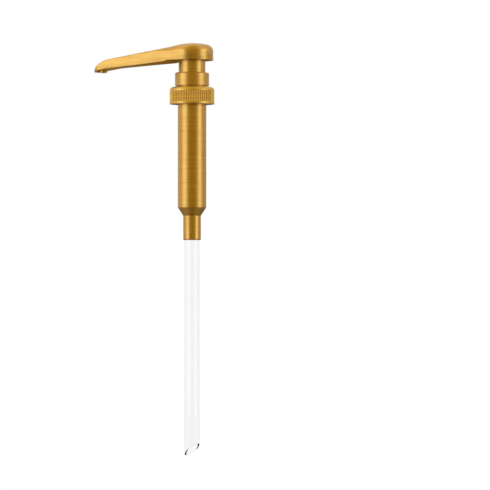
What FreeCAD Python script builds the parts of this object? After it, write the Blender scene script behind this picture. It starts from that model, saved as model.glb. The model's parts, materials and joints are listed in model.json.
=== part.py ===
import FreeCAD, Part
import os
import re
from math import cos, tan

import Sketcher

# Screw-on condiment pump, head down.  Millimetres, +Z up, spout along -X.
# z = 0 is the plane of the bottle's rim, on the pump's own axis.

DIMENSIONS = {
    # clearances
    "seat_gap": 0.02,
    "run_gap": 0.08,
    # screw cap
    "cap_radius": 16.05,
    "cap_top": 4.3,
    "cap_roof": 3.0,
    "cap_bottom": -8.1,
    "cap_hole_radius": 10.75,
    "cap_inner_radius": 14.1,
    "cap_shoulder": 2.6,
    "cap_lip": 0.3,
    "rib_radius": 0.62,
    "rib_root_radius": 15.45,
    "rib_count": 60,
    "rib_bottom": -6.6,
    "rib_top": 1.4,
    "thread_pitch": 4.233,
    "thread_height": 5.3,
    "thread_bottom": -6.6,
    "thread_crest_radius": 13.2,
    "thread_base_half": 1.1,
    "thread_crest_half": 0.45,
    # guide collar
    "collar_radius": 12.25,
    "collar_top": 14.6,
    "collar_bottom": 5.0,
    "collar_edge": 1.0,
    "collar_neck_radius": 10.35,
    "ledge_radius": 9.95,
    "ledge_bottom": 9.8,
    "recess_radius": 11.2,
    "recess_floor": 6.6,
    "guide_radius": 7.6,
    "guide_top": 10.0,
    "plug_radius": 8.83,
    "plug_bottom": -3.5,
    "wiper_seat_radius": 7.3,
    "wiper_seat_top": -0.6,
    "wiper_height": 1.5,
    "wiper_lip_top": 0.5,
    "wiper_lip_bottom": 1.1,
    "wiper_flare": 0.6,
    "wiper_retainer_gap": 0.4,
    "groove_radius": 7.65,
    "groove_width": 1.4,
    "collar_groove_bottom": 0.4,
    # barrel
    "bore_radius": 8.85,
    "barrel_radius": 10.25,
    "barrel_bottom": -79,
    "flange_radius": 13.0,
    "flange_bottom": 1.2,
    "flange_top": 2.7,
    "vent_radius": 0.6,
    "vent_height": -5.2,
    "gasket_seat_radius": 10.6,
    "gasket_seat_bottom": -0.4,
    "gasket_inner_radius": 10.65,
    "gasket_radius": 12.9,
    "oring_section": 0.58,
    "oring_mean_radius": 8.25,
    # foot with its spigot and inlet valve
    "foot_top": -71,
    "foot_shoulder": -82,
    "spigot_radius": 6.35,
    "spigot_top": -88,
    "spigot_bottom": -105.5,
    "spigot_edge": 0.9,
    "foot_groove_bottom": -75.8,
    "inlet_chamber_radius": 4.2,
    "inlet_seat_top": -83,
    "inlet_seat_bottom": -85,
    "inlet_throat_radius": 2.6,
    "inlet_throat_flare": 1.5,
    "inlet_ball_radius": 3.4,
    "inlet_ball_centre": -82.78,
    "cage_bottom": -77.2,
    "cage_radius": 4.17,
    "cage_bore_radius": 3.1,
    "cage_floor": 1.3,
    "cage_flange_radius": 8.6,
    "cage_flange_top": -69.8,
    "cage_hole_radius": 0.85,
    "cage_hole_offset": 2.0,
    "cage_hole_count": 5,
    # dip tube
    "tube_radius": 5.25,
    "tube_bore_radius": 4.0,
    "tube_top": -91,
    "tube_tip": -260.2,
    "tube_bevel_angle": 41.1,
    "tube_bevel_turn": -18,
    "bevel_block": 40,
    # return spring
    "spring_radius": 6.6,
    "wire_radius": 0.6,
    "spring_pitch": 2.2,
    "spring_height": 19.75,
    "spring_start": -69.18,
    "spring_top": -48.8,
    "spring_seat_radius": 8.2,
    "spring_seat_bore": 3.2,
    # piston
    "piston_top": -38.3,
    "piston_radius": 8.8,
    "piston_waist_radius": 8.4,
    "piston_lip_wall": 1.0,
    "piston_hub_radius": 6.2,
    "piston_web_low": -42.9,
    "piston_web_high": -40.6,
    "piston_lip": 1.6,
    "retainer_top": -45.2,
    "retainer_step": -46.3,
    "retainer_bottom": -47.6,
    "retainer_radius": 7.4,
    "retainer_bore": 4.75,
    "stem_foot_radius": 3.9,
    "stem_barb_radius": 4.5,
    "stem_barb_top": -46.4,
    "stem_barb_edge": 0.3,
    "stem_bottom": -47.3,
    # stem
    "stem_radius": 5.5,
    "stem_bore_radius": 3.0,
    "stem_shoulder": -38.2,
    "stem_top": 25.0,
    "stem_groove_radius": 4.5,
    "stem_groove_bottom": 19.0,
    "stem_groove_width": 1.2,
    "stem_oring_mean_radius": 5.0,
    "stem_oring_section": 0.47,
    # lock sleeve
    "sleeve_radius": 9.6,
    "sleeve_bore_radius": 8.2,
    "sleeve_bottom": 6.9,
    "sleeve_top": 24.9,
    "lug_bottom": 7.1,
    "lug_height": 2.2,
    "lug_half_width": 2.1,
    "lug_reach": 10.7,
    "lug_root": 9.0,
    "slot_half_width": 2.7,
    "slot_reach": 11.2,
    # head core
    "core_radius": 8.17,
    "core_bottom": 15.0,
    "core_top": 33.2,
    "socket_radius": 5.52,
    "socket_top": 26.0,
    "outlet_chamber_radius": 4.2,
    "outlet_chamber_top": 32.4,
    "outlet_seat_radius": 4.17,
    "outlet_seat_top": 27.6,
    "outlet_cone_bottom": 26.2,
    "outlet_throat_radius": 1.9,
    "outlet_cone_radius": 3.1,
    "outlet_ball_radius": 2.8,
    "outlet_ball_centre": 28.31,
    "port_length": 9,
    "web_half_width": 0.6,
    "web_bottom": 24.95,
    "web_top": 31.9,
    "web_reach": 13.4,
    "web_root": 7.7,
    # head shell
    "head_radius": 15.2,
    "head_rim": 23.35,
    "head_rim_start": -14.2,
    "form_back": 16.2,
    "form_back_top": 32.9,
    "head_crown_radius": 45,
    "arm_top_start": -10.5,
    "arm_top_height": 34.25,
    "nose_start": -64.5,
    "nose_start_height": 25.8,
    "nose_radius": 17.5,
    "nose_end": -77.6,
    "tip": -76.8,
    "tip_height": 16.5,
    "tip_flat": 1.6,
    "mouth_start": -73.2,
    "mouth_height": 17.6,
    "arm_bottom_tip": -64.6,
    "arm_bottom_tip_height": 18.9,
    "arm_bottom_root": -17.4,
    "arm_bottom_root_height": 22.5,
    "arm_bottom_radius": 600,
    "waist_start": -3.24,
    "waist_radius": 440,
    "arm_start": -56.3,
    "arm_half_width": 6.63,
    "beak_half_width": 5.2,
    "wall": 1.4,
    "cavity_bottom": 8,
    "form_half_width": 18,
    "crown_edge": 2.6,
    "arm_edge": 1.0,
    "crown_end": -10.6,
    "side_middle": 4,
    # spout tube
    "spout_tube_radius": 2.9,
    "spout_bore_radius": 1.9,
    "spout_start": -5.0,
    "spout_start_height": 30.0,
    "outlet_offset": -70.3,
    "outlet_corner_height": 19.6,
    "outlet_height": 16.1,
    "outlet_bend": 3.5,
}

FULL_TURN = 360
NEAR = 0.01

doc = FreeCAD.newDocument("condiment_pump")
sheet = doc.addObject("Spreadsheet::Sheet", "dims")
for row, (alias, size) in enumerate(DIMENSIONS.items(), 1):
    sheet.set(f"A{row}", alias)
    sheet.set(f"B{row}", str(size))
    sheet.setAlias(f"B{row}", alias)
doc.recompute()

parts = []


def keep(shape_object, label):
    """Names a finished sub-part and puts it on the list of files to write."""
    shape_object.Label = label
    parts.append(shape_object)
    return shape_object


def bound(text):
    """An expression in sheet aliases, as the expression engine reads it."""
    return re.sub(r"\b(?!sqrt\b)[a-z]\w*", r"dims.\g<0>", text)


def size_of(text):
    return float(sheet.evalExpression(bound(text)))


def bind(target, **expressions):
    """Binds properties, with __ for a dot, to expressions in sheet aliases."""
    for name, text in expressions.items():
        target.setExpression(name.replace("__", "."), bound(text))


# ---------------------------------------------------------------- sketches


def new_sketch(body, role, lift="0"):
    plane = next(f for f in body.Origin.OriginFeatures if f.Role == role)
    sketch = body.newObject("Sketcher::SketchObject", "profile")
    sketch.AttachmentSupport = [(plane, "")]
    sketch.MapMode = "FlatFace"
    bind(sketch, AttachmentOffset__Base__z=lift)
    return sketch


def fix_point(sketch, geometry, end, across, up):
    for kind, text in (("DistanceX", across), ("DistanceY", up)):
        rule = Sketcher.Constraint(kind, -1, 1, geometry, end, size_of(text))
        index = sketch.addConstraint(rule)
        sketch.setExpression(f"Constraints[{index}]", bound(text))


def fix_radius(sketch, geometry, text):
    index = sketch.addConstraint(Sketcher.Constraint("Radius", geometry, size_of(text)))
    sketch.setExpression(f"Constraints[{index}]", bound(text))


def draw_outline(sketch, corners):
    """A closed outline.  A corner is (across, up), or (across, up, radius, side) where the
    side to the next corner is an arc, bulging to the left of its direction for side 1."""
    points = [FreeCAD.Vector(size_of(c[0]), size_of(c[1]), 0) for c in corners]
    ends = []
    for corner, start, end in zip(corners, points, points[1:] + points[:1]):
        if len(corner) == 2:
            line = sketch.addGeometry(Part.LineSegment(start, end))
            ends.append((line, 1, 2))
            continue
        radius = size_of(corner[2])
        chord = end - start
        left = FreeCAD.Vector(-chord.y, chord.x, 0).normalize() * corner[3]
        rise = radius - max(radius**2 - (chord.Length / 2) ** 2, 0) ** 0.5
        arc = sketch.addGeometry(Part.Arc(start, start + chord / 2 + left * rise, end))
        forward = (sketch.getPoint(arc, 1) - start).Length < (sketch.getPoint(arc, 2) - start).Length
        ends.append((arc, 1, 2) if forward else (arc, 2, 1))
        fix_radius(sketch, arc, corner[2])
    for here, after in zip(ends, ends[1:] + ends[:1]):
        sketch.addConstraint(Sketcher.Constraint("Coincident", here[0], here[2], after[0], after[1]))
    for (geometry, start_end, _), corner in zip(ends, corners):
        fix_point(sketch, geometry, start_end, corner[0], corner[1])


def draw_circle(sketch, across, up, radius):
    centre = FreeCAD.Vector(size_of(across), size_of(up), 0)
    circle = sketch.addGeometry(Part.Circle(centre, FreeCAD.Vector(0, 0, 1), size_of(radius)))
    fix_point(sketch, circle, 3, across, up)
    fix_radius(sketch, circle, radius)


def rectangle(left, right, low, high):
    return [(left, low), (right, low), (right, high), (left, high)]


# ---------------------------------------------------------------- features


def new_body(label):
    body = doc.addObject("PartDesign::Body", label)
    return keep(body, label)


def turned(label, corners):
    """A body of revolution about the pump's axis, from a half section of (radius, height)."""
    body = new_body(label)
    sketch = new_sketch(body, "XZ_Plane")
    draw_outline(sketch, corners)
    turn = body.newObject("PartDesign::Revolution", "turn")
    turn.Profile = sketch
    turn.ReferenceAxis = (sketch, ["V_Axis"])
    turn.Angle = FULL_TURN
    doc.recompute()
    return body


def pad(body, sketch, length):
    feature = body.newObject("PartDesign::Pad", "pad")
    feature.Profile = sketch
    bind(feature, Length=length)
    doc.recompute()
    return feature


def pocket(body, sketch, length, reverse=False):
    """Cuts the sketch away over a length and makes sure that it does cut."""
    before = body.Shape.Volume
    feature = body.newObject("PartDesign::Pocket", "pocket")
    feature.Profile = sketch
    feature.Reversed = reverse
    bind(feature, Length=length)
    doc.recompute()
    if feature.Shape.Volume > before - NEAR:
        raise ValueError(f"the pocket in {body.Label} cuts nothing")
    return feature


def repeat_round(body, feature, count):
    """Repeats a feature evenly round the pump's axis."""
    pattern = body.newObject("PartDesign::PolarPattern", "round")
    pattern.Originals = [feature]
    axis = next(f for f in body.Origin.OriginFeatures if f.Role == "Z_Axis")
    pattern.Axis = (axis, [""])
    pattern.Angle = FULL_TURN
    pattern.Occurrences = DIMENSIONS[count]
    body.Tip = pattern
    doc.recompute()
    return pattern


def rim_names(shape, radius, height):
    """The circular edges of one radius at one height."""
    names = []
    for number, edge in enumerate(shape.Edges, 1):
        curve = edge.Curve
        if not isinstance(curve, Part.Circle):
            continue
        if abs(curve.Radius - size_of(radius)) < NEAR and abs(curve.Center.z - size_of(height)) < NEAR:
            names.append(f"Edge{number}")
    return names


def round_rim(body, radius, height, size):
    tip = body.Tip
    feature = body.newObject("PartDesign::Fillet", "rounding")
    feature.Base = (tip, rim_names(tip.Shape, radius, height))
    bind(feature, Radius=size)
    doc.recompute()
    return feature


def ball(label, radius, height):
    sphere = doc.addObject("Part::Sphere", label)
    bind(sphere, Radius=radius, Placement__Base__z=height)
    return keep(sphere, label)


def ring_seal(label, mean_radius, section, height):
    torus = doc.addObject("Part::Torus", label)
    bind(torus, Radius1=mean_radius, Radius2=section, Placement__Base__z=height)
    return keep(torus, label)


def rod(radius, low, high):
    cylinder = doc.addObject("Part::Cylinder", "rod")
    bind(cylinder, Radius=radius, Height=f"{high} - ({low})", Placement__Base__z=low)
    return cylinder


def cut(base, tool):
    result = doc.addObject("Part::Cut", "cut")
    result.Base = base
    result.Tool = tool
    return result


def common(base, tool):
    result = doc.addObject("Part::Common", "common")
    result.Base = base
    result.Tool = tool
    return result


# ---------------------------------------------------------------- closure


def make_closure_cap():
    body = turned(
        "closure_cap",
        [
            ("cap_hole_radius", "cap_roof"),
            ("cap_inner_radius", "cap_roof"),
            ("cap_inner_radius", "cap_bottom"),
            ("cap_radius", "cap_bottom"),
            ("cap_radius", "rib_bottom"),
            ("rib_root_radius", "rib_bottom"),
            ("rib_root_radius", "rib_top"),
            ("cap_radius", "rib_top"),
            ("cap_radius", "cap_top"),
            ("cap_hole_radius", "cap_top"),
        ],
    )
    round_rim(body, "cap_radius", "cap_top", "cap_shoulder")
    round_rim(body, "cap_radius", "cap_bottom", "cap_lip")
    ribs = new_sketch(body, "XY_Plane", "rib_bottom")
    draw_circle(ribs, "cap_radius - seat_gap - rib_radius", "0", "rib_radius")
    rib = pad(body, ribs, "rib_top - rib_bottom")
    repeat_round(body, rib, "rib_count")

    ridge = new_sketch(body, "XZ_Plane")
    root = "cap_inner_radius + seat_gap"
    draw_outline(
        ridge,
        [
            (root, "thread_bottom - thread_base_half"),
            (root, "thread_bottom + thread_base_half"),
            ("thread_crest_radius", "thread_bottom + thread_crest_half"),
            ("thread_crest_radius", "thread_bottom - thread_crest_half"),
        ],
    )
    thread = body.newObject("PartDesign::AdditiveHelix", "thread")
    thread.Profile = ridge
    thread.ReferenceAxis = (ridge, ["V_Axis"])
    thread.Mode = "pitch-height-angle"
    bind(thread, Pitch="thread_pitch", Height="thread_height")
    doc.recompute()


def make_guide_collar():
    body = turned(
        "guide_collar",
        [
            ("stem_radius + run_gap", "wiper_seat_top"),
            ("wiper_seat_radius", "wiper_seat_top"),
            ("wiper_seat_radius", "plug_bottom"),
            ("plug_radius", "plug_bottom"),
            ("plug_radius", "collar_groove_bottom"),
            ("groove_radius", "collar_groove_bottom"),
            ("groove_radius", "collar_groove_bottom + groove_width"),
            ("plug_radius", "collar_groove_bottom + groove_width"),
            ("plug_radius", "flange_top"),
            ("collar_neck_radius", "flange_top"),
            ("collar_neck_radius", "collar_bottom"),
            ("collar_radius", "collar_bottom"),
            ("collar_radius", "collar_top"),
            ("ledge_radius", "collar_top"),
            ("ledge_radius", "ledge_bottom"),
            ("recess_radius", "ledge_bottom"),
            ("recess_radius", "recess_floor"),
            ("guide_radius", "recess_floor"),
            ("guide_radius", "guide_top"),
            ("stem_radius + run_gap", "guide_top"),
        ],
    )
    round_rim(body, "collar_radius", "collar_top", "collar_edge")
    round_rim(body, "collar_radius", "collar_bottom", "collar_edge / 2")
    for low, high in (("lug_root", "slot_reach"), ("-slot_reach", "-lug_root")):
        slot = new_sketch(body, "XY_Plane", "ledge_bottom")
        draw_outline(slot, rectangle("-slot_half_width", "slot_half_width", low, high))
        pocket(body, slot, "collar_top - ledge_bottom", reverse=True)


def make_closure_seals():
    lip = "stem_radius + run_gap / 2"
    flare = "stem_radius + wiper_flare"
    seat = "wiper_seat_radius - seat_gap"
    turned(
        "stem_wiper",
        [
            (lip, "wiper_seat_top - wiper_lip_top"),
            (flare, "wiper_seat_top - seat_gap"),
            (seat, "wiper_seat_top - seat_gap"),
            (seat, "wiper_seat_top - wiper_height"),
            (flare, "wiper_seat_top - wiper_height"),
            (lip, "wiper_seat_top - wiper_lip_bottom"),
        ],
    )
    retainer_bore = "stem_radius + wiper_retainer_gap"
    retainer_top = "wiper_seat_top - wiper_height - seat_gap"
    turned("wiper_retainer", rectangle(retainer_bore, seat, "plug_bottom", retainer_top))
    turned(
        "neck_gasket",
        rectangle("gasket_inner_radius", "gasket_radius", "0", "flange_bottom"),
    )


# ---------------------------------------------------------------- barrel and foot


def make_barrel():
    body = turned(
        "pump_cylinder",
        [
            ("bore_radius", "barrel_bottom"),
            ("barrel_radius", "barrel_bottom"),
            ("barrel_radius", "gasket_seat_bottom"),
            ("gasket_seat_radius", "gasket_seat_bottom"),
            ("gasket_seat_radius", "flange_bottom"),
            ("flange_radius", "flange_bottom"),
            ("flange_radius", "flange_top"),
            ("bore_radius", "flange_top"),
        ],
    )
    vent = new_sketch(body, "YZ_Plane")
    draw_circle(vent, "0", "vent_height", "vent_radius")
    pocket(body, vent, "barrel_radius + vent_radius", reverse=True)
    middle = "collar_groove_bottom + groove_width / 2"
    ring_seal("barrel_oring", "oring_mean_radius", "oring_section", middle)


def make_foot():
    body = turned(
        "foot_valve_housing",
        [
            ("inlet_chamber_radius", "foot_top"),
            ("inlet_chamber_radius", "inlet_seat_top"),
            ("inlet_throat_radius", "inlet_seat_bottom"),
            ("inlet_throat_radius", "tube_top + inlet_throat_flare"),
            ("tube_bore_radius", "tube_top"),
            ("tube_radius + seat_gap", "tube_top"),
            ("tube_radius + seat_gap", "spigot_bottom"),
            ("spigot_radius", "spigot_bottom"),
            ("spigot_radius", "spigot_top"),
            ("barrel_radius", "foot_shoulder"),
            ("barrel_radius", "barrel_bottom"),
            ("plug_radius", "barrel_bottom"),
            ("plug_radius", "foot_groove_bottom"),
            ("groove_radius", "foot_groove_bottom"),
            ("groove_radius", "foot_groove_bottom + groove_width"),
            ("plug_radius", "foot_groove_bottom + groove_width"),
            ("plug_radius", "foot_top"),
        ],
    )
    round_rim(body, "spigot_radius", "spigot_bottom", "spigot_edge")
    middle = "foot_groove_bottom + groove_width / 2"
    ring_seal("foot_oring", "oring_mean_radius", "oring_section", middle)
    ball("inlet_ball", "inlet_ball_radius", "inlet_ball_centre")


def make_inlet_cage():
    body = turned(
        "inlet_ball_cage",
        [
            ("cage_hole_radius / 2", "cage_bottom"),
            ("cage_radius", "cage_bottom"),
            ("cage_radius", "foot_top"),
            ("cage_flange_radius", "foot_top"),
            ("cage_flange_radius", "cage_flange_top"),
            ("cage_bore_radius", "cage_flange_top"),
            ("cage_bore_radius", "cage_bottom + cage_floor"),
            ("cage_hole_radius / 2", "cage_bottom + cage_floor"),
        ],
    )
    hole = new_sketch(body, "XY_Plane", "cage_bottom")
    draw_circle(hole, "cage_hole_offset", "0", "cage_hole_radius")
    repeat_round(body, pocket(body, hole, "cage_floor", reverse=True), "cage_hole_count")


def make_dip_tube():
    wall = cut(rod("tube_radius", "tube_tip", "tube_top"), rod("tube_bore_radius", "tube_tip", "tube_top"))
    # the tube's end stands on a tilted block that meets it at its lowest point
    block = doc.addObject("Part::Box", "bevel_block")
    bind(block, Length="bevel_block", Width="bevel_block", Height="bevel_block")
    turn = FreeCAD.Rotation(FreeCAD.Vector(0, 0, 1), DIMENSIONS["tube_bevel_turn"])
    tilt = FreeCAD.Rotation(FreeCAD.Vector(0, 1, 0), -DIMENSIONS["tube_bevel_angle"])
    side = DIMENSIONS["bevel_block"]
    low_point = turn.multVec(FreeCAD.Vector(-DIMENSIONS["tube_radius"], 0, 0))
    low_point.z = DIMENSIONS["tube_tip"]
    corner = turn.multiply(tilt).multVec(FreeCAD.Vector(-side / 2, -side / 2, -side))
    block.Placement = FreeCAD.Placement(low_point + corner, turn.multiply(tilt))
    keep(cut(wall, block), "dip_tube")


# ---------------------------------------------------------------- spring, piston and stem


def make_spring():
    body = new_body("return_spring")
    wire = new_sketch(body, "XZ_Plane")
    draw_circle(wire, "spring_radius", "spring_start", "wire_radius")
    coil = body.newObject("PartDesign::AdditiveHelix", "coil")
    coil.Profile = wire
    coil.ReferenceAxis = (wire, ["V_Axis"])
    coil.Mode = "pitch-height-angle"
    bind(coil, Pitch="spring_pitch", Height="spring_height - 2 * wire_radius")
    doc.recompute()
    turned(
        "spring_seat",
        rectangle("spring_seat_bore", "spring_seat_radius", "spring_top", "retainer_bottom"),
    )


def make_piston():
    bore = "stem_foot_radius + run_gap"
    inner = "piston_radius - piston_lip_wall"
    turned(
        "piston_cup",
        [
            (bore, "retainer_top"),
            ("piston_hub_radius", "retainer_top"),
            ("piston_hub_radius", "piston_web_low"),
            (inner, "piston_web_low"),
            (inner, "retainer_top"),
            ("piston_radius", "retainer_top"),
            ("piston_radius", "retainer_top + piston_lip"),
            ("piston_waist_radius", "piston_web_low"),
            ("piston_waist_radius", "piston_web_high"),
            ("piston_radius", "piston_top - piston_lip"),
            ("piston_radius", "piston_top"),
            (inner, "piston_top"),
            (inner, "piston_web_high"),
            ("piston_hub_radius", "piston_web_high"),
            ("piston_hub_radius", "piston_top"),
            (bore, "piston_top"),
        ],
    )
    turned(
        "piston_retainer",
        [
            (bore, "retainer_top"),
            (bore, "retainer_step"),
            ("retainer_bore", "retainer_step"),
            ("retainer_bore", "retainer_bottom"),
            ("retainer_radius", "retainer_bottom"),
            ("retainer_radius", "retainer_top"),
        ],
    )


def make_stem():
    turned(
        "plunger_stem",
        [
            ("stem_bore_radius", "stem_bottom"),
            ("stem_foot_radius", "stem_bottom"),
            ("stem_barb_radius", "stem_barb_top - stem_barb_edge"),
            ("stem_barb_radius", "stem_barb_top"),
            ("stem_foot_radius", "stem_barb_top"),
            ("stem_foot_radius", "stem_shoulder"),
            ("stem_radius", "stem_shoulder"),
            ("stem_radius", "stem_groove_bottom"),
            ("stem_groove_radius", "stem_groove_bottom"),
            ("stem_groove_radius", "stem_groove_bottom + stem_groove_width"),
            ("stem_radius", "stem_groove_bottom + stem_groove_width"),
            ("stem_radius", "stem_top"),
            ("stem_bore_radius", "stem_top"),
        ],
    )
    middle = "stem_groove_bottom + stem_groove_width / 2"
    ring_seal("stem_oring", "stem_oring_mean_radius", "stem_oring_section", middle)


def make_lock_sleeve():
    body = turned(
        "lock_sleeve",
        rectangle("sleeve_bore_radius", "sleeve_radius", "sleeve_bottom", "sleeve_top"),
    )
    for low, high in (("lug_root", "lug_reach"), ("-lug_reach", "-lug_root")):
        lug = new_sketch(body, "XY_Plane", "lug_bottom")
        draw_outline(lug, rectangle("-lug_half_width", "lug_half_width", low, high))
        pad(body, lug, "lug_height")


# ---------------------------------------------------------------- head


def spout_line():
    """The two ends of the spout tube's sloping run, at the port and above the outlet."""
    start = FreeCAD.Vector(size_of("spout_start"), 0, size_of("spout_start_height"))
    corner = FreeCAD.Vector(size_of("outlet_offset"), 0, size_of("outlet_corner_height"))
    return start, corner


def make_head_core():
    """The centre of the head: stem socket, outlet valve chamber, port and three webs."""
    body = turned(
        "head_core",
        [
            ("socket_radius", "core_bottom"),
            ("core_radius", "core_bottom"),
            ("core_radius", "core_top"),
            ("0", "core_top"),
            ("0", "outlet_chamber_top"),
            ("outlet_chamber_radius", "outlet_chamber_top"),
            ("outlet_chamber_radius", "socket_top"),
            ("socket_radius", "socket_top"),
        ],
    )
    webs = (
        rectangle("web_root", "web_reach", "-web_half_width", "web_half_width"),
        rectangle("-web_half_width", "web_half_width", "web_root", "web_reach"),
        rectangle("-web_half_width", "web_half_width", "-web_reach", "-web_root"),
    )
    for outline in webs:
        web = new_sketch(body, "XY_Plane", "web_bottom")
        draw_outline(web, outline)
        pad(body, web, "web_top - web_bottom")
    parts.remove(body)
    body.Label = "core_body"
    port = doc.addObject("Part::Cylinder", "port")
    bind(port, Radius="spout_tube_radius + seat_gap", Height="port_length")
    start, corner = spout_line()
    upright = FreeCAD.Vector(0, 0, 1)
    port.Placement = FreeCAD.Placement(start, FreeCAD.Rotation(upright, corner - start))
    keep(cut(body, port), "head_core")


def make_outlet_valve():
    turned(
        "outlet_valve_seat",
        [
            ("outlet_throat_radius", "stem_top"),
            ("stem_radius", "stem_top"),
            ("stem_radius", "socket_top"),
            ("outlet_seat_radius", "socket_top"),
            ("outlet_seat_radius", "outlet_seat_top"),
            ("outlet_cone_radius", "outlet_seat_top"),
            ("outlet_throat_radius", "outlet_cone_bottom"),
        ],
    )
    ball("outlet_ball", "outlet_ball_radius", "outlet_ball_centre")


def make_spout_tube():
    """A tube that slopes down the arm and turns straight down at the outlet."""
    start, corner = spout_line()
    end = FreeCAD.Vector(corner.x, 0, size_of("outlet_height"))
    along = (corner - start).normalize()
    down = (end - corner).normalize()
    turn = along.getAngle(down)
    bend = size_of("outlet_bend")
    inner = (down - along).normalize()
    bend_start = corner - along * bend * tan(turn / 2)
    bend_end = corner + down * bend * tan(turn / 2)
    bend_middle = corner + inner * (bend / cos(turn / 2) - bend)
    path = Part.Wire(
        [
            Part.makeLine(start, bend_start),
            Part.Arc(bend_start, bend_middle, bend_end).toShape(),
            Part.makeLine(bend_end, end),
        ]
    )
    shapes = []
    for radius in ("spout_tube_radius", "spout_bore_radius"):
        section = Part.Wire([Part.makeCircle(size_of(radius), start, along)])
        shapes.append(path.makePipeShell([section], True, False))
    tube = doc.addObject("Part::Feature", "spout_tube")
    tube.Shape = shapes[0].cut(shapes[1])
    keep(tube, "spout_tube")


def side_form(label, inset):
    """The head seen from the side, as a slab across the arm, drawn in by the inset."""
    body = doc.addObject("PartDesign::Body", label)
    sketch = new_sketch(body, "XZ_Plane", "-form_half_width")
    top = [
        ("form_back", f"form_back_top - {inset}", f"head_crown_radius - {inset}", -1),
        ("arm_top_start", f"arm_top_height - {inset}"),
        ("nose_start", f"nose_start_height - {inset}", f"nose_radius - {inset}", -1),
    ]
    if inset == "0":
        under = [
            ("nose_end", "tip_height"),
            ("tip + tip_flat", "tip_height"),
            ("mouth_start", "mouth_height"),
            ("arm_bottom_tip", "arm_bottom_tip_height", "arm_bottom_radius", 1),
            ("arm_bottom_root", "arm_bottom_root_height"),
            ("head_rim_start", "head_rim"),
            ("form_back", "head_rim"),
        ]
    else:
        under = [
            (f"nose_end + {inset}", "tip_height"),
            (f"nose_end + {inset}", "cavity_bottom"),
            ("form_back", "cavity_bottom"),
        ]
    draw_outline(sketch, top + under)
    pad(body, sketch, "2 * form_half_width")
    return body


def plan_form(label, inset):
    """The head seen from above, a disc drawn out into the arm, drawn in by the inset."""
    body = doc.addObject("PartDesign::Body", label)
    sketch = new_sketch(body, "XY_Plane", "cavity_bottom - 1")
    radius = f"head_radius - {inset}"
    waist_x = f"waist_start * ({radius}) / head_radius"
    waist_y = f"sqrt(head_radius^2 - waist_start^2) * ({radius}) / head_radius"
    arm_y = f"arm_half_width - {inset}"
    beak_x = "tip + beak_half_width"
    beak_y = f"beak_half_width - {inset}"
    waist_curve = f"waist_radius + {inset}"
    draw_outline(
        sketch,
        [
            (radius, "0", radius, -1),
            (waist_x, waist_y, waist_curve, 1),
            ("arm_start", arm_y),
            (beak_x, beak_y, beak_y, -1),
            (f"tip + {inset}", "0", beak_y, -1),
            (beak_x, f"-({beak_y})"),
            ("arm_start", f"-({arm_y})", waist_curve, 1),
            (waist_x, f"-({waist_y})", radius, -1),
        ],
    )
    pad(body, sketch, "form_back_top")
    return body


def top_edges(shape):
    """The long edges round the head's top, each with the rounding at its two ends.

    The rounding is full round the crown, shrinks along the waist and is small on the arm."""
    crown = size_of("crown_edge")
    arm = size_of("arm_edge")
    underside = size_of("arm_bottom_root_height")
    slope = (underside - size_of("arm_bottom_tip_height")) / (
        size_of("arm_bottom_root") - size_of("arm_bottom_tip")
    )
    rounded = []
    for number, edge in enumerate(shape.Edges, 1):
        first = edge.valueAt(edge.FirstParameter)
        middle = edge.valueAt((edge.FirstParameter + edge.LastParameter) / 2)
        last = edge.valueAt(edge.LastParameter)
        upright = abs(last.x - first.x) + abs(last.y - first.y) < NEAR
        across = abs(last.x - first.x) < NEAR and abs(middle.y) < NEAR
        low = middle.z < underside + slope * middle.x + size_of("side_middle")
        on_beak = middle.x < size_of("nose_start")
        if upright or across or low or on_beak:
            continue
        ends = (crown if end.x > size_of("crown_end") else arm for end in (first, last))
        rounded.append((middle.x, (number, *ends)))
    return [edge for _, edge in sorted(rounded, reverse=True)]


def make_head_shell():
    outer, cavity = (
        common(side_form("side", inset), plan_form("plan", inset)) for inset in ("0", "wall")
    )
    doc.recompute()
    rounded = doc.addObject("Part::Fillet", "rounded")
    rounded.Base = outer
    rounded.Edges = top_edges(outer.Shape)
    keep(cut(rounded, cavity), "spout_head")


# ---------------------------------------------------------------- the pump


def check(shape_object):
    """Stops on a sub-part that did not come out as one sound solid."""
    shape = shape_object.Shape
    if shape.isNull() or not shape.isValid() or len(shape.Solids) != 1:
        raise ValueError(f"{shape_object.Label} is not one valid solid")


def write_parts():
    doc.recompute()
    for item in doc.Objects:
        if "Invalid" in item.State or "Error" in item.State:
            raise ValueError(f"{item.Label} failed: {item.State}")
    for item in parts:
        check(item)
    os.makedirs("parts", exist_ok=True)
    for item in parts:
        item.Shape.exportStep(f"parts/{item.Label}.step")
        print(f"{item.Label}: {item.Shape.Volume:.1f} mm3")


make_closure_cap()
make_guide_collar()
make_closure_seals()
make_barrel()
make_foot()
make_inlet_cage()
make_dip_tube()
make_spring()
make_piston()
make_stem()
make_lock_sleeve()
make_head_core()
make_outlet_valve()
make_spout_tube()
make_head_shell()
write_parts()
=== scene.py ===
import json
import math

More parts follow.
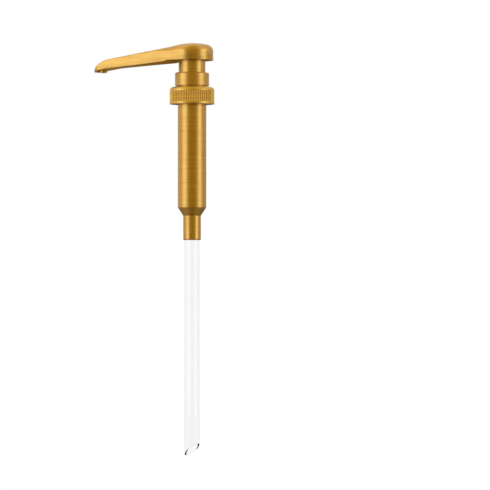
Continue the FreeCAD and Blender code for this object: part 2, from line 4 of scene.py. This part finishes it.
import bmesh
import bpy
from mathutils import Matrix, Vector


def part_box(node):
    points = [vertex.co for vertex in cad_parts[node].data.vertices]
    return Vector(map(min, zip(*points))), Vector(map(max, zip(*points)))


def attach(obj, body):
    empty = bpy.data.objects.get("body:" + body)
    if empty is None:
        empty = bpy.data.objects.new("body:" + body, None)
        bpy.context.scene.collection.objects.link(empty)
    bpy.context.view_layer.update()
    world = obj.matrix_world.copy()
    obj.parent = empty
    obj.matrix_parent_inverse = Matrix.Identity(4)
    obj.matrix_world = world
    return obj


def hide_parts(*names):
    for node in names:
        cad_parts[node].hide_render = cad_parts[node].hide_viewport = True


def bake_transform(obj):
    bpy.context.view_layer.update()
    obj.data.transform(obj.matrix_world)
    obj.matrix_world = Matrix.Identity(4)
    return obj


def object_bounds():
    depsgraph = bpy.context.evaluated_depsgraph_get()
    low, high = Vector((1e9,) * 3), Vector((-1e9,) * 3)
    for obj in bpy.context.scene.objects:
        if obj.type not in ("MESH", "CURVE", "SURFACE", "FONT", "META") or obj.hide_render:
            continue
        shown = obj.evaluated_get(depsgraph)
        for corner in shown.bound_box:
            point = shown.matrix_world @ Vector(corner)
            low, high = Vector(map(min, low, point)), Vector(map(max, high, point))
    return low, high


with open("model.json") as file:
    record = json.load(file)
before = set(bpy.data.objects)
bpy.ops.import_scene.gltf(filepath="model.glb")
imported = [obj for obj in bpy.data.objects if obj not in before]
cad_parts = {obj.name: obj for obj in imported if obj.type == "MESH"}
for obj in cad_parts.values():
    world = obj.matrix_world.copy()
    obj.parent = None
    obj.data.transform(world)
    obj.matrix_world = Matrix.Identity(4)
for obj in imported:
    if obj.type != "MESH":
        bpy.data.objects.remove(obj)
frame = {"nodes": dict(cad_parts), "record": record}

CAD_BOX = [list(corner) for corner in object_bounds()]
NODES = frame["nodes"]
MM = 0.001

# the side that the object is looked at from, and the size of what is seen
VIEW_AZIMUTH = math.radians(22)
VIEW_DISTANCE = 2.0
VIEW_WIDTH = 0.3516
AIM_HEIGHT = -0.109
AIM_RIGHT = 0.038
SENSOR = 36.0
FAR = 100
FLOOR_GAP = 0.04
FLOOR_RADIUS = 8
FLOOR_SIDES = 96


# ---------------------------------------------------------------- materials


class Nodes:
    """A short way to add and link shader nodes."""

    def __init__(self, tree):
        self.tree = tree

    def add(self, kind, **values):
        node = self.tree.nodes.new(kind)
        for name, value in values.items():
            setattr(node, name, value)
        return node

    def link(self, output, target):
        self.tree.links.new(output, target)


def new_material(name):
    """A material with its nodes and its surface shader."""
    material = bpy.data.materials.new(name)
    material.use_nodes = True
    tree = material.node_tree
    shader = next(n for n in tree.nodes if n.type == "BSDF_PRINCIPLED")
    return material, Nodes(tree), shader


def noise(nodes, scale, detail=3.0, stretch=(1, 1, 1), rough=0.5):
    """Noise in the piece's own place, drawn out along the axes whose stretch is small."""
    place = nodes.add("ShaderNodeTexCoord")
    mapping = nodes.add("ShaderNodeMapping")
    mapping.inputs["Scale"].default_value = stretch
    texture = nodes.add("ShaderNodeTexNoise")
    texture.inputs["Scale"].default_value = scale
    texture.inputs["Detail"].default_value = detail
    texture.inputs["Roughness"].default_value = rough
    nodes.link(place.outputs["Object"], mapping.inputs["Vector"])
    nodes.link(mapping.outputs["Vector"], texture.inputs["Vector"])
    return texture.outputs["Fac"]


def ramp(nodes, source, stops):
    node = nodes.add("ShaderNodeValToRGB")
    elements = node.color_ramp.elements
    while len(elements) < len(stops):
        elements.new(0.5)
    for element, (position, colour) in zip(elements, stops):
        element.position = position
        element.color = (*colour, 1.0)
    nodes.link(source, node.inputs["Fac"])
    return node.outputs["Color"]


def ranged(nodes, source, low, high, start=0.3, end=0.7):
    node = nodes.add("ShaderNodeMapRange")
    node.inputs["From Min"].default_value = start
    node.inputs["From Max"].default_value = end
    node.inputs["To Min"].default_value = low
    node.inputs["To Max"].default_value = high
    nodes.link(source, node.inputs["Value"])
    return node.outputs["Result"]


def bump(nodes, source, shader, strength, distance):
    node = nodes.add("ShaderNodeBump")
    node.inputs["Strength"].default_value = strength
    node.inputs["Distance"].default_value = distance
    nodes.link(source, node.inputs["Height"])
    nodes.link(node.outputs["Normal"], shader.inputs["Normal"])


GOLD_DARK = (0.58, 0.352, 0.072)
GOLD_LIGHT = (0.80, 0.535, 0.145)


def gold_plastic(name, grain, roughness=0.34, tint=(1, 1, 1)):
    """Satin metallic plastic, with a fine grain drawn out along the piece."""
    material, nodes, shader = new_material(name)
    streaks = noise(nodes, 420.0, 4.0, grain, 0.6)
    mottle = noise(nodes, 90.0, 2.0)
    dark, light = ([c * t for c, t in zip(gold, tint)] for gold in (GOLD_DARK, GOLD_LIGHT))
    colour = ramp(nodes, streaks, [(0.3, dark), (0.7, light)])
    nodes.link(colour, shader.inputs["Base Color"])
    shader.inputs["Metallic"].default_value = 1.0
    satin = ranged(nodes, mottle, roughness - 0.03, roughness + 0.05)
    nodes.link(satin, shader.inputs["Roughness"])
    shader.inputs["Coat Weight"].default_value = 1.0
    shader.inputs["Coat Roughness"].default_value = 0.3
    bump(nodes, streaks, shader, 0.12, 0.00006)
    return material


def plain_plastic(name, colour, roughness, metallic=0.0):
    """A plain plastic, silicone or steel with a faint mottle."""
    material, nodes, shader = new_material(name)
    mottle = noise(nodes, 260.0, 4.0)
    darker = tuple(c * 0.92 for c in colour)
    mottled = ramp(nodes, mottle, [(0.3, darker), (0.7, colour)])
    nodes.link(mottled, shader.inputs["Base Color"])
    satin = ranged(nodes, mottle, roughness - 0.06, roughness + 0.06)
    nodes.link(satin, shader.inputs["Roughness"])
    shader.inputs["Metallic"].default_value = metallic
    bump(nodes, mottle, shader, 0.08, 0.00004)
    return material


def clear_tube():
    """Clear extruded plastic with a faint haze along it."""
    material, nodes, shader = new_material("clear_tube")
    shader.inputs["Base Color"].default_value = (0.955, 0.955, 0.955, 1)
    shader.inputs["Transmission Weight"].default_value = 1.0
    shader.inputs["IOR"].default_value = 1.4
    haze = noise(nodes, 60.0, 3.0, (1, 1, 0.15))
    nodes.link(ranged(nodes, haze, 0.0, 0.015), shader.inputs["Roughness"])
    return material


# how far the grain is drawn out along each axis: round the barrel, and along the arm
RING_GRAIN = (0.06, 0.06, 6.0)
ARM_GRAIN = (0.05, 0.5, 1.0)
GOLD_RINGS = gold_plastic("gold_turned", RING_GRAIN)
GOLD_HEAD = gold_plastic("gold_moulded", ARM_GRAIN)
CAP_ROUGHNESS = 0.44
CAP_TINT = (1.18, 1.26, 1.15)
GOLD_CAP = gold_plastic("gold_ribbed", RING_GRAIN, CAP_ROUGHNESS, CAP_TINT)
MATERIALS = {
    "gold_plastic": GOLD_RINGS,
    "natural_plastic": plain_plastic("natural_plastic", (0.80, 0.79, 0.74), 0.45),
    "seal_rubber": plain_plastic("seal_silicone", (0.72, 0.72, 0.70), 0.6),
    "stainless_steel": plain_plastic("stainless_steel", (0.62, 0.62, 0.64), 0.22, 1.0),
    "clear_tube": clear_tube(),
}


def paint(piece, material):
    piece.data.materials.clear()
    piece.data.materials.append(material)


for row in frame["record"]["subparts"]:
    paint(NODES[row["node"]], MATERIALS[row["material_slot"]])
paint(NODES["spout_head"], GOLD_HEAD)
paint(NODES["spout_tube"], GOLD_HEAD)
paint(NODES["closure_cap"], GOLD_CAP)


# ---------------------------------------------------------------- mesh pieces

# the head's shell, in millimetres: its plan, its side outline and its roundings
HEAD_RADIUS = 15.2
WAIST_RADIUS = 440.0
ARM_HALF_WIDTH = 4.75
BEAK_HALF_WIDTH = 5.2
TIP = -76.8
SHELL_WALL = 1.4
LIP_ROUND = 0.3
DOME_HEIGHT = 35.8
DOME_CENTRE = 1.0
CROWN_RADIUS = 46.0
ARM_LINE = (-10.5, 34.25)
ARM_SLOPE = 0.1565
ARM_FADE_START = -9.0
ARM_FADE = 0.02
CROWN_BLEND = 0.2
NOSE_CENTRE = (-61.76, 8.5)
NOSE_RADIUS = 17.5
NOSE_START = -64.5
CROWN_ROUND = 3.6
ARM_ROUND = 0.9
WAIST_NARROW = -26.0
WAIST_WIDE = -7.0
CEILING_ROUND = 0.5
UNDERSIDE = (
    (TIP, 16.5),
    (-75.2, 16.5),
    (-73.2, 17.6),
    (-64.6, 18.9),
    (-17.4, 22.5),
    (-14.2, 23.35),
    (HEAD_RADIUS, 23.35),
)

# how finely the head is drawn: points along its plan and rings over its section
BACK_POINTS = 112
WAIST_POINTS = 64
TAPER_POINTS = 24
BEAK_POINTS = 18
TOP_RINGS = 12
EDGE_RINGS = 10
LIP_RINGS = 4
CEILING_RINGS = 8

# the return spring, in millimetres and turns
WIRE_RADIUS = 0.6
WIRE_SIDES = 16
STEPS_A_TURN = 48
ACTIVE_TURNS = 7
CLOSED_TURNS = 1.25
CLOSED_PITCH = 1.22
GROUND_DEPTH = 0.35


def mesh_object(name, points, faces, sharp_angle=40):
    """A mesh from points in millimetres, smooth except where faces meet sharply."""
    shaper = bmesh.new()
    corners = [shaper.verts.new(Vector(p) * MM) for p in points]
    for face in faces:
        shaper.faces.new([corners[i] for i in face])
    bmesh.ops.remove_doubles(shaper, verts=shaper.verts, dist=1e-7)
    bmesh.ops.recalc_face_normals(shaper, faces=shaper.faces)
    for face in shaper.faces:
        face.smooth = True
    for edge in shaper.edges:
        if len(edge.link_faces) == 2:
            edge.smooth = edge.calc_face_angle(0) < math.radians(sharp_angle)
    data = bpy.data.meshes.new(name)
    shaper.to_mesh(data)
    shaper.free()
    piece = bpy.data.objects.new(name, data)
    bpy.context.scene.collection.objects.link(piece)
    return piece


def joined_rings(rings):
    """The points and faces of a skin over rings of equal length, each joined to the next."""
    count = len(rings[0])
    points = [p for ring in rings for p in ring]
    faces = []
    for here in range(0, len(points) - count, count):
        for i in range(count):
            j = (i + 1) % count
            faces.append((here + i, here + j, here + count + j, here + count + i))
    return points, faces


def arc(centre, radius, start, end, count):
    """Points on an arc, without its last one."""
    turns = (start + (end - start) * i / count for i in range(count))
    return [Vector(centre) + radius * Vector((math.cos(a), math.sin(a))) for a in turns]


def head_plan():
    """The head from above: round the back, down one side, round the beak and back again."""
    waist_y = ARM_HALF_WIDTH + WAIST_RADIUS
    waist_x = -math.sqrt((HEAD_RADIUS + WAIST_RADIUS) ** 2 - waist_y**2)
    turn = math.atan2(waist_y, waist_x)
    beak_x = TIP + BEAK_HALF_WIDTH
    apart = Vector((waist_x - beak_x, waist_y))
    taper = math.atan2(apart.y, apart.x)
    taper += math.acos((WAIST_RADIUS + BEAK_HALF_WIDTH) / apart.length)
    back = arc((0, 0), HEAD_RADIUS, -turn, turn, BACK_POINTS)[1:]
    waist = arc((waist_x, waist_y), WAIST_RADIUS, turn - math.pi, taper - math.pi, WAIST_POINTS)
    half_beak = arc((beak_x, 0), BEAK_HALF_WIDTH, taper, math.pi, BEAK_POINTS)
    across = Vector((math.cos(taper), math.sin(taper)))
    narrow = Vector((waist_x, waist_y)) - WAIST_RADIUS * across
    side = [narrow.lerp(half_beak[0], i / TAPER_POINTS) for i in range(TAPER_POINTS)]
    half = waist + side + half_beak
    other_half = [Vector((p.x, -p.y)) for p in reversed(half[1:])]
    return back + half + [Vector((TIP, 0))] + other_half + [Vector((half[0].x, -half[0].y))]


def underside(x):
    """The height of the shell's lower edge, straight between its corners."""
    for (left, low), (right, high) in zip(UNDERSIDE, UNDERSIDE[1:]):
        if x <= right:
            return low + (high - low) * max(x - left, 0) / (right - left)
    return UNDERSIDE[-1][1]


def crown(x, y):
    """The height of the head's top: a dome that runs out into the arm and then the nose."""
    across = y * y / (2 * CROWN_RADIUS)
    dome = DOME_HEIGHT - (x - DOME_CENTRE) ** 2 / (2 * CROWN_RADIUS) - across
    arm = ARM_LINE[1] + ARM_SLOPE * (x - ARM_LINE[0]) - across
    arm -= ARM_FADE * max(x - ARM_FADE_START, 0) ** 2
    top = (dome + arm + math.hypot(dome - arm, CROWN_BLEND)) / 2
    if x < NOSE_START:
        return NOSE_CENTRE[1] + math.sqrt(NOSE_RADIUS**2 - (NOSE_CENTRE[0] - x) ** 2) - across
    return top


def top_round(x):
    """The rounding along the top edge, full round the button and small along the arm."""
    share = min(max((x - WAIST_NARROW) / (WAIST_WIDE - WAIST_NARROW), 0), 1)
    return ARM_ROUND + (CROWN_ROUND - ARM_ROUND) * share * share * (3 - 2 * share)


def to_middle(point):
    """The way from a point of the plan to the head's middle line."""
    if point.x > 0:
        return -point
    return Vector((max(point.x, TIP + BEAK_HALF_WIDTH), 0)) - point


def ring(plan, distance, height):
    """The plan drawn in by a distance, at a height that depends on the place."""
    points = []
    for place in plan:
        way = to_middle(place)
        inner = place + way.normalized() * min(distance(place, way.length), way.length)
        points.append((inner.x, inner.y, height(place, inner)))
    return points


def quarter(steps):
    """Steps of a quarter round, as the share drawn in and the share dropped."""
    for step in range(steps + 1):
        angle = math.pi / 2 * step / steps
        yield 1 - math.cos(angle), 1 - math.sin(angle)


def head_rings():
    """Rings over the whole shell, from the middle of the top round the lip to the ceiling."""
    plan = head_plan()
    rings = []
    for step in range(TOP_RINGS, 0, -1):
        share = step / TOP_RINGS
        rings.append(
            ring(
                plan,
                lambda place, length: top_round(place.x) + (length - top_round(place.x)) * share,
                lambda place, inner: crown(inner.x, inner.y),
            )
        )
    for drawn_in, drop in reversed(list(quarter(EDGE_RINGS))):
        rings.append(
            ring(
                plan,
                lambda place, length: top_round(place.x) * drawn_in,
                lambda place, inner: max(
                    crown(inner.x, inner.y) - top_round(place.x) * drop,
                    underside(place.x) + LIP_ROUND,
                ),
            )
        )
    for drawn_in, drop in quarter(LIP_RINGS):
        rings.append(
            ring(
                plan,
                lambda place, length: LIP_ROUND * drawn_in,
                lambda place, inner: underside(place.x) + LIP_ROUND * drop,
            )
        )
    for drawn_in, drop in reversed(list(quarter(LIP_RINGS))):
        rings.append(
            ring(
                plan,
                lambda place, length: SHELL_WALL - LIP_ROUND * drawn_in,
                lambda place, inner: underside(place.x) + LIP_ROUND * drop,
            )
        )
    for drawn_in, drop in quarter(LIP_RINGS):
        rings.append(
            ring(
                plan,
                lambda place, length: SHELL_WALL + CEILING_ROUND * drawn_in,
                lambda place, inner: crown(inner.x, inner.y) - SHELL_WALL - CEILING_ROUND * drop,
            )
        )
    for step in range(1, CEILING_RINGS + 1):
        share = step / CEILING_RINGS
        start = SHELL_WALL + CEILING_ROUND
        rings.append(
            ring(
                plan,
                lambda place, length: start + (length - start) * share,
                lambda place, inner: crown(inner.x, inner.y) - SHELL_WALL,
            )
        )
    return rings


def make_head():
    """The pressed head: domed over the stem, with a crisp-edged hollow arm and a beak."""
    head = mesh_object("head_shell", *joined_rings(head_rings()))
    paint(head, GOLD_HEAD)
    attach(head, "head")
    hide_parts("spout_head")


def spring_height(turns, low, high):
    """The wire's middle after some turns: closed at both ends and open between."""
    total = ACTIVE_TURNS + 2 * CLOSED_TURNS
    open_pitch = (high - low - 2 * CLOSED_TURNS * CLOSED_PITCH) / ACTIVE_TURNS
    from_end = min(turns, total - turns)
    if from_end < CLOSED_TURNS:
        rise = from_end * CLOSED_PITCH
        return low + rise if turns < total / 2 else high - rise
    return low + CLOSED_TURNS * CLOSED_PITCH + (turns - CLOSED_TURNS) * open_pitch


def make_spring():
    """A compression spring with closed ends ground flat, built to fill the height between its two
    seats.
    """
    low, high = (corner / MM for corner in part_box("return_spring"))
    radius = high.x - WIRE_RADIUS
    start = low.z + WIRE_RADIUS - GROUND_DEPTH
    end = high.z - WIRE_RADIUS + GROUND_DEPTH
    steps = int((ACTIVE_TURNS + 2 * CLOSED_TURNS) * STEPS_A_TURN)
    rings = []
    for step in range(steps + 1):
        turns = step / STEPS_A_TURN
        angle = turns * 2 * math.pi
        middle = spring_height(turns, start, end)
        section = []
        for corner in range(WIRE_SIDES):
            round_wire = 2 * math.pi * corner / WIRE_SIDES
            out = radius + WIRE_RADIUS * math.cos(round_wire)
            up = min(max(middle + WIRE_RADIUS * math.sin(round_wire), low.z), high.z)
            section.append((out * math.cos(angle), out * math.sin(angle), up))
        rings.append(section)
    points, faces = joined_rings(rings)
    last = len(points) - WIRE_SIDES
    faces += [tuple(range(WIRE_SIDES)), tuple(range(last, len(points)))]
    spring = mesh_object("coil_spring", points, faces)
    paint(spring, MATERIALS["stainless_steel"])
    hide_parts("return_spring")
    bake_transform(spring)


# ---------------------------------------------------------------- studio


def make_floor():
    """A white, self-lit floor that reflections and shadows leave out."""
    low, high = (Vector(c) for c in CAD_BOX)
    bpy.ops.mesh.primitive_circle_add(vertices=FLOOR_SIDES, radius=FLOOR_RADIUS, fill_type="NGON")
    floor = bpy.context.object
    floor.name = "studio_floor"
    floor.location = ((low.x + high.x) / 2, 0, low.z - FLOOR_GAP)
    material, nodes, shader = new_material("studio_floor")
    shader.inputs["Base Color"].default_value = (0, 0, 0, 1)
    shader.inputs["Specular IOR Level"].default_value = 0.0
    shader.inputs["Emission Color"].default_value = (1, 1, 1, 1)
    shader.inputs["Emission Strength"].default_value = 1.0
    paint(floor, material)
    floor.visible_diffuse = False
    floor.visible_glossy = False
    floor.visible_shadow = False


def make_camera():
    """A level camera on the viewing side, aimed a little right of the pump."""
    back = Vector((math.sin(VIEW_AZIMUTH), -math.cos(VIEW_AZIMUTH), 0))
    right = Vector((math.cos(VIEW_AZIMUTH), math.sin(VIEW_AZIMUTH), 0))
    data = bpy.data.cameras.new("camera")
    data.sensor_width = SENSOR
    data.lens = VIEW_DISTANCE * SENSOR / VIEW_WIDTH
    data.clip_end = FAR
    camera = bpy.data.objects.new("camera", data)
    bpy.context.scene.collection.objects.link(camera)
    camera.location = right * AIM_RIGHT + back * VIEW_DISTANCE + Vector((0, 0, AIM_HEIGHT))
    camera.rotation_euler = (-back).to_track_quat("-Z", "Y").to_euler()
    bpy.context.scene.camera = camera


def make_softbox(name, turn, power, width):
    """An upright soft light, turned from the viewing side by an angle to the right."""
    azimuth = VIEW_AZIMUTH + math.radians(turn)
    data = bpy.data.lights.new(name, "AREA")
    data.shape = "RECTANGLE"
    data.size = width
    data.size_y = SOFTBOX_HEIGHT
    data.energy = power
    light = bpy.data.objects.new(name, data)
    bpy.context.scene.collection.objects.link(light)
    out = Vector((math.sin(azimuth), -math.cos(azimuth), 0))
    light.location = out * SOFTBOX_DISTANCE + Vector((0, 0, AIM_HEIGHT))
    light.rotation_euler = out.to_track_quat("Z", "Y").to_euler()


SOFTBOX_HEIGHT = 1.2
SOFTBOX_DISTANCE = 1.1

# brightness and tint of the room round the object, by the turn from the viewing side
ROOM = (
    (0.0, (0.36, 0.25, 0.03)),
    (0.08, (0.36, 0.25, 0.04)),
    (0.18, (0.62, 0.50, 0.30)),
    (0.36, (0.48, 0.42, 0.34)),
    (0.5, (0.50, 0.45, 0.36)),
    (0.64, (0.64, 0.56, 0.42)),
    (0.82, (0.70, 0.57, 0.36)),
    (0.92, (0.36, 0.25, 0.04)),
    (1.0, (0.36, 0.25, 0.03)),
)
# how bright the room is by the height looked at, from straight down to straight up
ROOM_HEIGHTS = (
    (0.0, (0.55, 0.55, 0.55)),
    (0.25, (0.48, 0.43, 0.36)),
    (0.40, (0.40, 0.31, 0.19)),
    (0.5, (1.0, 1.0, 1.0)),
    (0.75, (1.5, 1.5, 1.55)),
    (1.0, (1.5, 1.5, 1.55)),
)


def make_room():
    """White to the eye and through the clear tube, amber in front and darker below elsewhere."""
    world = bpy.data.worlds.new("room")
    world.use_nodes = True
    bpy.context.scene.world = world
    nodes = Nodes(world.node_tree)
    world.node_tree.nodes.clear()
    place = nodes.add("ShaderNodeTexCoord")
    mapping = nodes.add("ShaderNodeMapping")
    mapping.inputs["Rotation"].default_value = (0, 0, math.pi / 2 - VIEW_AZIMUTH + math.pi)
    radial = nodes.add("ShaderNodeTexGradient", gradient_type="RADIAL")
    nodes.link(place.outputs["Generated"], mapping.inputs["Vector"])
    nodes.link(mapping.outputs["Vector"], radial.inputs["Vector"])
    around = ramp(nodes, radial.outputs["Fac"], ROOM)
    parts = nodes.add("ShaderNodeSeparateXYZ")
    nodes.link(place.outputs["Generated"], parts.inputs["Vector"])
    upward = ranged(nodes, parts.outputs["Z"], 0.0, 1.0, -1.0, 1.0)
    heights = ramp(nodes, upward, ROOM_HEIGHTS)
    lit = nodes.add("ShaderNodeMix", data_type="RGBA", blend_type="MULTIPLY")
    lit.inputs["Factor"].default_value = 1.0
    nodes.link(around, lit.inputs["A"])
    nodes.link(heights, lit.inputs["B"])
    path = nodes.add("ShaderNodeLightPath")
    seen = nodes.add("ShaderNodeMath", operation="MAXIMUM")
    nodes.link(path.outputs["Is Camera Ray"], seen.inputs[0])
    nodes.link(path.outputs["Is Transmission Ray"], seen.inputs[1])
    mix = nodes.add("ShaderNodeMix", data_type="RGBA")
    nodes.link(seen.outputs[0], mix.inputs["Factor"])
    nodes.link(lit.outputs["Result"], mix.inputs["A"])
    mix.inputs["B"].default_value = (1, 1, 1, 1)
    background = nodes.add("ShaderNodeBackground")
    nodes.link(mix.outputs["Result"], background.inputs["Color"])
    output = nodes.add("ShaderNodeOutputWorld")
    nodes.link(background.outputs["Background"], output.inputs["Surface"])


make_head()
make_spring()
make_floor()
make_camera()
make_softbox("softbox_left", turn=-60, power=2.6, width=0.8)
make_softbox("softbox_right", turn=66, power=2.1, width=0.55)
make_room()
bpy.context.scene.view_settings.view_transform = "Standard"
